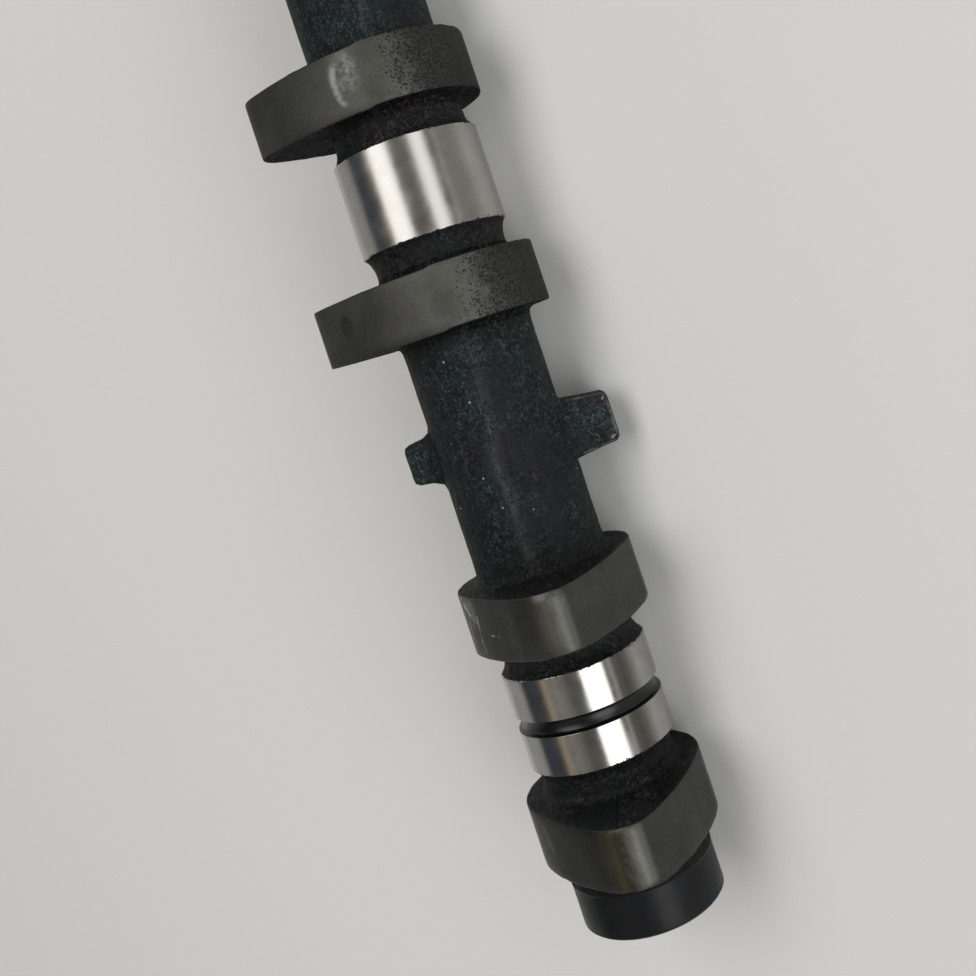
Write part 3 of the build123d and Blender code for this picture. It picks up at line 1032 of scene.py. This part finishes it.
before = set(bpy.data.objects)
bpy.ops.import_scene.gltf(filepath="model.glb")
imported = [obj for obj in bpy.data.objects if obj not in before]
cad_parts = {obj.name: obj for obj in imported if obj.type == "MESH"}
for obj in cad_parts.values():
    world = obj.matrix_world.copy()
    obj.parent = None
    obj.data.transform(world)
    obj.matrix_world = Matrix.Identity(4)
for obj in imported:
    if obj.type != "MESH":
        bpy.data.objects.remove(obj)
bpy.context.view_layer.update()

surface_parts = shaft_mesh()
shaft = mesh_object("camshaft_surface", *surface_parts)
finish_makers = (
    cast_skin, ground_lobe, bright_journal, dark_groove, black_collar, turned_steel, dull_skin,
)
for make_finish in finish_makers:
    shaft.data.materials.append(make_finish())
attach(shaft, "root")
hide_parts("camshaft")


# Floor, light and camera


def resting_plane(points):
    """The plane that the shaft lies on, through three of its lowest points: on the noses of the
    first and the second pair and on the base circle of the last lobe. Gives a point and normal."""
    touching = []
    for start, end in ((0.060, 0.090), (0.155, 0.185), (0.350, 0.367)):
        near = points[(points[:, 0] > start) & (points[:, 0] < end)]
        touching.append(Vector(near[np.argmin(near[:, 2])]))
    first, second, last = touching
    normal = (second - first).cross(last - first).normalized()
    return first, normal if normal.z > 0.0 else -normal


def stage_floor(points):
    """A wide pale plane under the shaft, a hair above the points that it touches."""
    material, tree, shader = new_material("pale_floor")
    plug(tree, shader, {
        "Base Color": (0.78, 0.78, 0.77, 1.0), "Roughness": 0.8, "Specular IOR Level": 0.2,
    })
    half_size, lift = 6.0, 0.00001
    touching, normal = resting_plane(points)
    along = Vector((1.0, 0.0, 0.0)).cross(normal).cross(normal).normalized()
    across = normal.cross(along)
    middle = touching + normal * lift
    turns = ((-1, -1), (1, -1), (1, 1), (-1, 1))
    corners = [middle + (along * u + across * v) * half_size for u, v in turns]
    mesh = bpy.data.meshes.new("floor")
    mesh.from_pydata([tuple(corner) for corner in corners], [], [(0, 1, 2, 3)])
    mesh.materials.append(material)
    new_object("floor", mesh)


def placed(x_axis, y_axis, z_axis, position):
    """The matrix of an object at a position, with its own axes along the given ones."""
    columns = [(*axis, 0.0) for axis in (x_axis, y_axis, z_axis)]
    return Matrix([*columns, (*position, 1.0)]).transposed()


def soft_lamp(name, angle, spread, distance, start, end, brightness):
    """An area lamp beside the shaft, facing it. angle is its direction about the axis and spread
    the angle that it fills there, in degrees; it runs from start to end along X, in metres. Its
    power is brightness times pi times its area."""
    a = math.radians(angle)
    width = 2.0 * distance * math.tan(math.radians(spread / 2.0))
    length = end - start
    out = Vector((0.0, math.cos(a), math.sin(a)))
    position = Vector(((start + end) / 2.0, 0.0, 0.0)) + out * distance
    lamp = bpy.data.lights.new(name, "AREA")
    lamp.shape = "RECTANGLE"
    lamp.size = width
    lamp.size_y = length
    lamp.energy = brightness * math.pi * width * length
    along = Vector((1.0, 0.0, 0.0))
    side = along.cross(out).normalized()
    new_object(name, lamp).matrix_world = placed(side, along, out, position)


def photo_camera():
    """The camera at the photograph's angle, from its fitted place and axes."""
    data = bpy.data.cameras.new("photo_camera")
    data.lens = 44.29
    data.sensor_width = 36.0
    data.shift_x = -0.0281
    data.shift_y = -0.1566
    data.clip_start, data.clip_end = 0.01, 20.0
    right = (0.31556792, 0.71544665, -0.62334018)
    up = (-0.94887669, 0.24281395, -0.20167899)
    back = (0.00706513, 0.65511639, 0.75549494)
    item = new_object("photo_camera", data)
    item.matrix_world = placed(right, up, back, (0.27533, 0.14931, 0.15945))
    bpy.context.scene.camera = item


def studio_world():
    """Dim even surroundings, with a darker band along X behind the shaft and above it. Its angle
    about X is worked out from the direction that is looked in."""
    world = bpy.data.worlds.new("studio")
    world.use_nodes = True
    tree = world.node_tree
    tree.nodes.clear()
    direction = add_node(tree, "TexCoord", {})["Generated"]
    split = add_node(tree, "SeparateXYZ", {"Vector": direction})
    angle = maths(tree, "ARCTAN2", split["Z"], split["Y"])
    share = maths(tree, "DIVIDE", angle, math.pi)
    pale, dim, dark = 0.50, (0.17, 0.165, 0.15), (0.070, 0.075, 0.080)
    warm_grey, light = (0.38, 0.355, 0.335), (0.60, 0.53, 0.43)
    brown, slate = (0.21, 0.14, 0.075), (0.075, 0.092, 0.115)
    stops = [
        (0.0, pale), (0.03, dim), (0.38, dim), (0.43, (0.29, 0.275, 0.26)), (0.49, warm_grey),
        (0.54, (0.34, 0.32, 0.29)), (0.595, light), (0.632, brown), (0.66, slate), (0.72, slate),
        (0.80, dark), (0.85, pale),
    ]
    colour = ramp(tree, share, stops)
    background = add_node(tree, "Background", {"Color": colour, "Strength": 1.0})
    add_node(tree, "OutputWorld", {"Surface": background["Background"]})
    bpy.context.scene.world = world


stage_floor(surface_parts[0])
for lamp_settings in (
    ("overhead_softbox", 90.0, 32.0, 1.8, -1.85, 0.44, 2.4),
    ("front_softbox", 27.0, 22.0, 2.0, -1.85, 0.44, 2.0),
    ("rear_softbox", 29.0, 36.5, 2.0, 0.48, 2.1, 3.2),
):
    soft_lamp(*lamp_settings)
photo_camera()
studio_world()
bpy.context.scene.view_settings.view_transform = "Standard"
